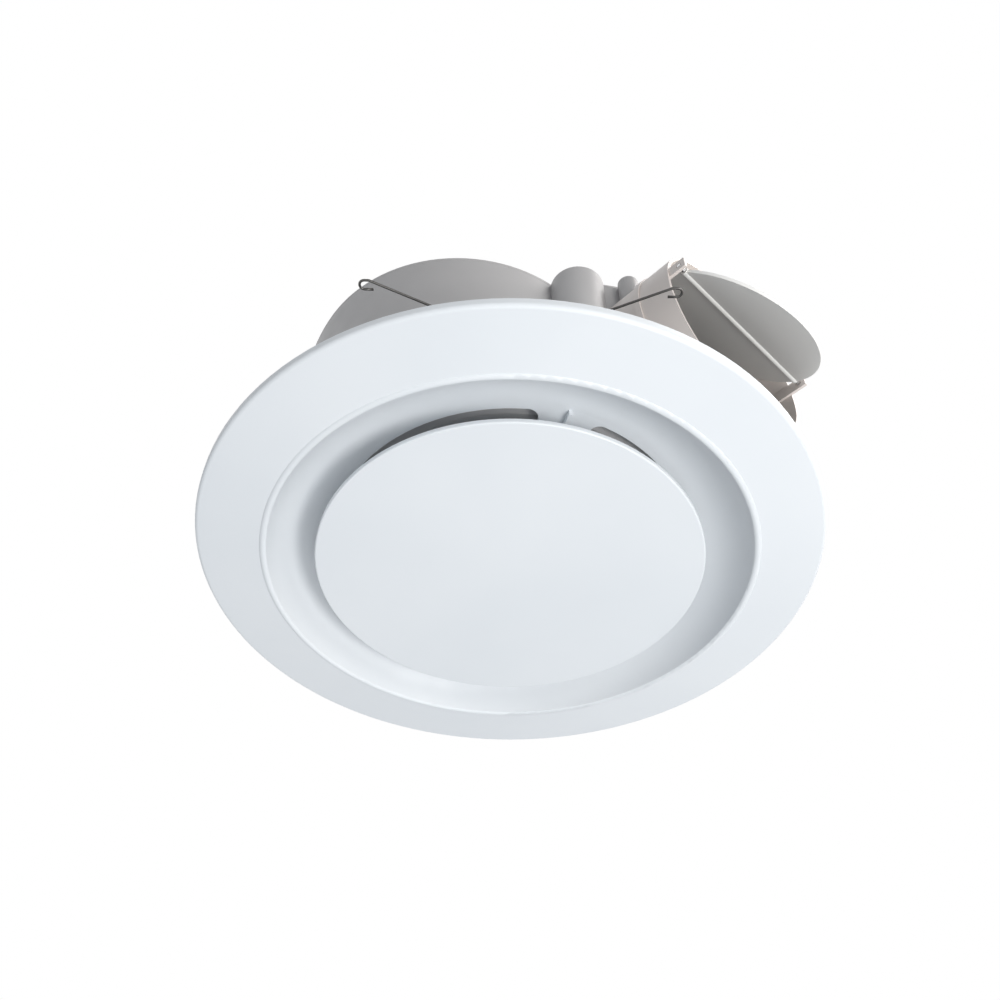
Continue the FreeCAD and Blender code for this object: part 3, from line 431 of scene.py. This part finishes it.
@dataclass
class PanScrews:
    """A group of screws with low domed heads and a cross recess.

    The head's profile runs from its underside to its flat top, in shares of its radius and height.
    """

    node: str
    facing: Facing
    head_radius: float = 3.4 * MM
    head_tall: float = 2.0 * MM
    head_profile: tuple[tuple[float, float], ...] = (
        (0.96, 0.0), (1.0, 0.1), (1.0, 0.35), (0.93, 0.66), (0.8, 0.9))
    flat_radius: float = 2.1 * MM
    shank_radius: float = 1.5 * MM
    arm_reach: float = 1.65 * MM
    arm_half: float = 0.42 * MM
    recess_deep: float = 1.2 * MM
    taper: float = 0.62
    turns: int = 28
    sharp: float = math.radians(40.0)

    def spots(self) -> list[tuple[Vector, Vector]]:
        """Find each screw of the node.

        Returns:
            The lowest and highest corner of each screw.
        """
        work = merged_copy(self.node)
        waiting = set(work.verts)
        corners = []
        while waiting:
            reached = [waiting.pop()]
            for vert in reached:
                beside = {edge.other_vert(vert) for edge in vert.link_edges} & waiting
                waiting -= beside
                reached.extend(beside)
            low = Vector(min(vert.co[axis] for vert in reached) for axis in range(3))
            high = Vector(max(vert.co[axis] for vert in reached) for axis in range(3))
            corners.append((low, high))
        work.free()
        return sorted(corners, key=lambda pair: tuple(pair[0]))

    def turned(self, work: bmesh.types.BMesh, shank_long: float) -> list[bmesh.types.BMEdge]:
        """Spin a screw with no top to its head, the underside of the head at height nought.

        Args:
            work: the bmesh that it is added to.
            shank_long: length of its shank.

        Returns:
            The open ring of edges round the head's top.
        """
        before = set(work.verts)
        outline = [
            (0.0, -shank_long),
            (self.shank_radius * self.taper, -shank_long),
            (self.shank_radius, self.shank_radius - shank_long),
            (self.shank_radius, 0.0),
        ]
        outline += [(self.head_radius * wide, self.head_tall * tall) for wide, tall in self.head_profile]
        outline.append((self.flat_radius, self.head_tall))
        chain = [work.verts.new((across, 0.0, height)) for across, height in outline]
        edges = [work.edges.new(pair) for pair in zip(chain, chain[1:])]
        bmesh.ops.spin(
            work, geom=chain + edges, cent=(0, 0, 0), axis=(0, 0, 1), dvec=(0, 0, 0),
            angle=math.tau, steps=self.turns, use_merge=True, use_duplicate=False)
        fresh = [vert for vert in work.verts if vert not in before]
        bmesh.ops.remove_doubles(work, verts=fresh, dist=MERGE)
        fresh = [vert for vert in work.verts if vert not in before]
        return [edge for edge in {edge for vert in fresh for edge in vert.link_edges} if edge.is_boundary]

    def recess(self, work: bmesh.types.BMesh, ring: list[bmesh.types.BMEdge]) -> None:
        """Close the head's top with a flat that has a tapered cross sunk into it.

        Args:
            work: the bmesh that holds the screw.
            ring: the open ring of edges round the head's top.
        """
        reach, half = self.arm_reach, self.arm_half
        cross = []
        for quarter in range(4):
            turn = Matrix.Rotation(quarter * math.pi / 2, 3, "Z")
            for across, along in ((half, half), (reach, half), (reach, -half)):
                cross.append(work.verts.new(turn.inverted() @ Vector((across, along, self.head_tall))))
        lips = [work.edges.new(pair) for pair in zip(cross, cross[1:] + cross[:1])]
        bmesh.ops.triangle_fill(work, edges=ring + lips, use_beauty=True, normal=(0, 0, 1))
        wall = bmesh.ops.extrude_edge_only(work, edges=lips)["geom"]
        foot = [item for item in wall if isinstance(item, bmesh.types.BMVert)]
        bmesh.ops.scale(work, verts=foot, vec=(self.taper, self.taper, 1.0))
        bmesh.ops.translate(work, verts=foot, vec=(0.0, 0.0, -self.recess_deep))
        sides = [item for item in wall if isinstance(item, bmesh.types.BMEdge)]
        bmesh.ops.contextual_create(work, geom=sides)

    def build(self) -> bpy.types.Object:
        """Put a screw at each place of the node.

        Returns:
            The group of screws as one piece.
        """
        work = bmesh.new()
        for low, high in self.spots():
            before = set(work.verts)
            self.recess(work, self.turned(work, high.z - low.z - self.head_tall))
            fresh = [vert for vert in work.verts if vert not in before]
            middle = (low + high) / 2
            seat = high.z - self.head_tall if self.facing is Facing.UP else low.z + self.head_tall
            place = Matrix.Translation((middle.x, middle.y, seat))
            turn = Matrix.Rotation(self.facing.value, 4, "X")
            bmesh.ops.transform(work, matrix=place @ turn, verts=fresh)
        bmesh.ops.recalc_face_normals(work, faces=work.faces)
        thing = settle(self.node + "_cross", work, Body.HOUSING, self.node)
        thing.data.set_sharp_from_angle(angle=self.sharp)
        return thing


@dataclass
class Fascia:
    """The white fascia, its centre disc and its screws."""

    dresser: Dresser
    screws: bpy.types.Object = field(init=False)

    def build(self) -> None:
        """Make the screws."""
        self.screws = PanScrews("fascia_screws", Facing.DOWN).build()

    def dress(self) -> None:
        """Finish the fascia, the disc and the screws."""
        self.dresser.nodes(WHITE_FACE, "fascia", "centre_disc")
        self.dresser.pieces(BRIGHT_STEEL, self.screws)


@dataclass
class Housing:
    """The drum, the scroll casing on it, its cover and the inlet cone."""

    dresser: Dresser
    wall_edge: float = 0.6 * MM
    shells: list[bpy.types.Object] = field(init=False)
    screws: bpy.types.Object = field(init=False)

    def build(self) -> None:
        """Round the drum and the cover, and make the cover's screws."""
        self.shells = [Moulding(name, self.wall_edge).build() for name in ("drum", "top_cover")]
        self.screws = PanScrews("cover_screws", Facing.UP).build()

    def dress(self) -> None:
        """Finish the housing's mouldings and screws."""
        self.dresser.pieces(HOUSING, *self.shells)
        self.dresser.nodes(HOUSING, "scroll_casing", "inlet_cone")
        self.dresser.pieces(BRIGHT_STEEL, self.screws)


@dataclass
class Motor:
    """The motor on the cover, and the wheel on its shaft."""

    dresser: Dresser
    screws: bpy.types.Object = field(init=False)

    def build(self) -> None:
        """Make the screws that hold the motor."""
        self.screws = PanScrews("motor_screws", Facing.UP).build()

    def dress(self) -> None:
        """Finish the motor and the wheel."""
        self.dresser.nodes(WHEEL_GREY, "impeller_hub", "impeller_blades", "impeller_ring")
        self.dresser.nodes(MOTOR_STEEL, "motor_can", "motor_end_bracket")
        self.dresser.nodes(CORE_STEEL, "stator_core", "rotor")
        self.dresser.nodes(BRIGHT_STEEL, "upper_bearing", "lower_bearing", "motor_shaft", "impeller_nut")
        self.dresser.nodes(COPPER, "windings")
        self.dresser.nodes(RUBBER, "motor_mounts")
        self.dresser.pieces(BRIGHT_STEEL, self.screws)


@dataclass
class SpigotLining:
    """The inner end of the spigot's tube: two curved walls that close the casing's way to it."""

    wall: float = 1.6 * MM
    long: float = 18.0 * MM
    edge: float = 0.4 * MM
    edge_steps: int = 2
    sharp: float = math.radians(60.0)
    sweep: float = math.radians(92.0)
    steps: int = 32

    def build(self) -> bpy.types.Object:
        """Spin one wall on each side of the tube's axis, back from the tube's inner end.

        Returns:
            The lining.
        """
        mount = next(item for item in frame["record"]["mounts"] if item["name"] == "duct_spigot")
        middle, outward = Vector(mount["pos_m"]), Vector(mount["axis"]).normalized()
        outer = mount["dims"]["r_mm"] * MM
        inner = outer - self.wall
        tube_end = min(vert.co.dot(outward) for vert in frame["nodes"]["outlet_spigot"].data.vertices)
        foot = middle + outward * (tube_end - middle.dot(outward))
        corners = ((-self.long, inner), (0.0, inner), (0.0, outer), (-self.long, outer))
        work = bmesh.new()
        for side in (0.0, math.pi):
            turn = Matrix.Rotation(side - self.sweep / 2, 3, "X")
            chain = [work.verts.new(turn @ Vector((along, across, 0.0))) for along, across in corners]
            face = work.faces.new(chain)
            bmesh.ops.spin(
                work, geom=[*chain, *face.edges, face], cent=(0, 0, 0), axis=(1, 0, 0), dvec=(0, 0, 0),
                angle=self.sweep, steps=self.steps, use_merge=False, use_duplicate=False)
        bmesh.ops.recalc_face_normals(work, faces=work.faces)
        corner_edges = [edge for edge in work.edges if edge.calc_face_angle(0.0) > self.sharp]
        bmesh.ops.bevel(
            work, geom=corner_edges, offset=self.edge, segments=self.edge_steps, profile=0.5,
            affect="EDGES", material=-1)
        upward = Vector((0.0, 0.0, 1.0))
        axes = Matrix((outward, upward.cross(outward), upward)).transposed().to_4x4()
        bmesh.ops.transform(work, matrix=Matrix.Translation(foot) @ axes, verts=work.verts)
        return settle("spigot_lining", work, Body.HOUSING)


@dataclass
class Outlet:
    """The spigot and its draught flap."""

    dresser: Dresser
    lining: bpy.types.Object = field(init=False)

    def build(self) -> None:
        """Line the way into the spigot."""
        self.lining = SpigotLining().build()

    def dress(self) -> None:
        """Finish the spigot, the flap and its axle."""
        self.dresser.nodes(SPIGOT, "outlet_spigot")
        self.dresser.pieces(SPIGOT, self.lining)
        self.dresser.nodes(FLAP_GREY, "draught_flap")
        self.dresser.nodes(BRIGHT_STEEL, "flap_axle")


@dataclass
class SpringWire:
    """A clip's wire, drawn down to its finished thickness."""

    node: str
    body: Body
    drawn: float = 0.22 * MM

    def build(self) -> bpy.types.Object:
        """Copy the wire's shape and draw its skin inwards.

        Returns:
            The wire.
        """
        thing = settle(self.node + "_wire", merged_copy(self.node), self.body, self.node)
        drawing = thing.modifiers.new("drawing", "DISPLACE")
        drawing.mid_level = 0.0
        drawing.strength = -self.drawn
        return thing


@dataclass
class Clips:
    """The two wire clips and their brackets."""

    dresser: Dresser
    edge: float = 0.4 * MM
    wires: list[bpy.types.Object] = field(init=False)
    brackets: list[bpy.types.Object] = field(init=False)

    def build(self) -> None:
        """Draw the wires and round the brackets."""
        bodies = {"near": Body.CLIP_NEAR, "far": Body.CLIP_FAR}
        self.wires = [SpringWire("wire_clip_" + side, body).build() for side, body in bodies.items()]
        self.brackets = [Moulding("clip_bracket_" + side, self.edge).build() for side in bodies]

    def dress(self) -> None:
        """Finish wires and brackets."""
        self.dresser.pieces(SPRING_STEEL, *self.wires)
        self.dresser.pieces(HOUSING, *self.brackets)


@dataclass
class SupplyBox:
    """The terminal box on the cover."""

    dresser: Dresser
    edge: float = 0.6 * MM
    gland_edge: float = 0.35 * MM
    shells: list[bpy.types.Object] = field(init=False)
    gland: bpy.types.Object = field(init=False)
    screws: bpy.types.Object = field(init=False)

    def build(self) -> None:
        """Round the box, its lid and the gland, and make the lid's screws."""
        self.shells = [Moulding(name, self.edge).build() for name in ("terminal_box", "terminal_lid")]
        self.gland = Moulding("cable_gland", self.gland_edge).build()
        self.screws = PanScrews("lid_screws", Facing.UP).build()

    def dress(self) -> None:
        """Finish the box, its lid, block, gland and screws."""
        self.dresser.pieces(HOUSING, *self.shells)
        self.dresser.nodes(TERMINAL_WHITE, "terminal_block")
        self.dresser.pieces(GLAND_BLACK, self.gland)
        self.dresser.pieces(BRIGHT_STEEL, self.screws)


@dataclass(frozen=True)
class SoftLamp:
    """A square soft lamp that faces the fan, with its side in metres and its power in watts."""

    name: str
    spot: Place
    side: float
    power: float
    colour: Colour

    def hang(self) -> None:
        """Hang the lamp at its place."""
        data = bpy.data.lights.new(self.name, "AREA")
        data.size = self.side
        data.energy = self.power
        data.color = self.colour
        thing = bpy.data.objects.new(self.name, data)
        thing.location = self.spot
        thing.rotation_euler = (-Vector(self.spot)).to_track_quat("-Z", "Y").to_euler()
        bpy.context.scene.collection.objects.link(thing)


LAMPS = (
    SoftLamp("key_lamp", (0.9, -0.75, -1.15), side=0.5, power=12.0, colour=(1.0, 0.985, 0.97)),
    SoftLamp("under_lamp", (0.2, -0.35, -1.0), side=0.8, power=2.9, colour=(0.96, 0.98, 1.0)),
    SoftLamp("outlet_lamp", (0.75, -1.0, -0.25), side=0.4, power=3.0, colour=(1.0, 0.97, 0.93)),
    SoftLamp("roof_lamp", (1.1, 0.0, 1.0), side=1.0, power=11.0, colour=(1.0, 0.97, 0.95)),
)


def part_rays(
        tree: bpy.types.NodeTree, lit: bpy.types.Node, seen: bpy.types.Node, output: bpy.types.Node) -> None:
    """Give camera, mirror and glass rays one shader to look at, and all other rays another.

    Args:
        tree: the node tree that holds the shaders.
        lit: the shader for all other rays, which light the fan.
        seen: the shader that is looked at.
        output: the tree's output node.
    """
    rays = tree.nodes.new("ShaderNodeLightPath")
    looks = rays.outputs["Is Camera Ray"]
    for name in ("Is Glossy Ray", "Is Transmission Ray"):
        either = tree.nodes.new("ShaderNodeMath")
        either.operation = "MAXIMUM"
        tree.links.new(looks, either.inputs[0])
        tree.links.new(rays.outputs[name], either.inputs[1])
        looks = either.outputs[0]
    mix = tree.nodes.new("ShaderNodeMixShader")
    tree.links.new(looks, mix.inputs[0])
    tree.links.new(lit.outputs[0], mix.inputs[1])
    tree.links.new(seen.outputs[0], mix.inputs[2])
    tree.links.new(mix.outputs[0], output.inputs["Surface"])


@dataclass
class Studio:
    """Camera, lamps, floor and white surroundings."""

    eye: Place = (0.0, -0.36239, -0.33320)
    right: Place = (0.99995093, 0.0086653, 0.00480135)
    up: Place = (0.00290665, -0.7199616, 0.69400782)
    lens: float = 36.75
    sensor: float = 36.0
    nearest: float = 0.01
    floor_height: float = -1.7
    floor_half: float = 12.0
    floor_colour: Colour = (0.85, 0.86, 0.87)
    ambient: Colour = (0.93, 0.96, 1.0)
    ambient_level: float = 0.43
    backdrop: Colour = (1.0, 1.0, 1.0)

    def camera(self) -> None:
        """Set the camera where the photograph was taken from."""
        data = bpy.data.cameras.new("camera")
        data.lens = self.lens
        data.sensor_width = self.sensor
        data.clip_start = self.nearest
        right, up = Vector(self.right).normalized(), Vector(self.up).normalized()
        turn = Matrix((right, up, right.cross(up))).transposed().to_4x4()
        thing = bpy.data.objects.new("camera", data)
        thing.matrix_world = Matrix.Translation(self.eye) @ turn
        bpy.context.scene.collection.objects.link(thing)
        bpy.context.scene.camera = thing

    def surroundings(self) -> None:
        """White to look at, and a plain soft light on the fan."""
        world = bpy.data.worlds.new("surroundings")
        world.use_nodes = True
        tree = world.node_tree
        tree.nodes.clear()
        output = tree.nodes.new("ShaderNodeOutputWorld")
        seen = tree.nodes.new("ShaderNodeBackground")
        seen.inputs["Color"].default_value = (*self.backdrop, 1.0)
        light = tree.nodes.new("ShaderNodeBackground")
        light.inputs["Color"].default_value = (*self.ambient, 1.0)
        light.inputs["Strength"].default_value = self.ambient_level
        part_rays(tree, light, seen, output)
        bpy.context.scene.world = world

    def floor_paint(self) -> bpy.types.Material:
        """Pale paint that looks white.

        Returns:
            The floor's material.
        """
        material = bpy.data.materials.new("floor")
        material.use_nodes = True
        tree = material.node_tree
        tree.nodes.clear()
        output = tree.nodes.new("ShaderNodeOutputMaterial")
        paint = tree.nodes.new("ShaderNodeBsdfDiffuse")
        paint.inputs["Color"].default_value = (*self.floor_colour, 1.0)
        seen = tree.nodes.new("ShaderNodeEmission")
        seen.inputs["Color"].default_value = (*self.backdrop, 1.0)
        part_rays(tree, paint, seen, output)
        return material

    def floor(self) -> None:
        """A pale floor far below the fan, as under a ceiling."""
        mesh = bpy.data.meshes.new("floor")
        work = bmesh.new()
        lift = Matrix.Translation((0.0, 0.0, self.floor_height))
        bmesh.ops.create_grid(work, x_segments=1, y_segments=1, size=self.floor_half, matrix=lift)
        work.to_mesh(mesh)
        work.free()
        thing = bpy.data.objects.new("floor", mesh)
        bpy.context.scene.collection.objects.link(thing)
        mesh.materials.append(self.floor_paint())

    def build(self) -> None:
        """Set up all of the studio."""
        bpy.context.scene.view_settings.view_transform = "Standard"
        self.camera()
        self.surroundings()
        self.floor()
        for lamp in LAMPS:
            lamp.hang()


def main() -> None:
    """Build and dress the fan, part by part, and set up the studio."""
    logging.basicConfig(level=logging.INFO, format="%(message)s")
    dresser = Dresser()
    for kind in (Fascia, Housing, Motor, Outlet, Clips, SupplyBox):
        part = kind(dresser)
        part.build()
        part.dress()
    Studio().build()


if __name__ == "__main__":
    main()
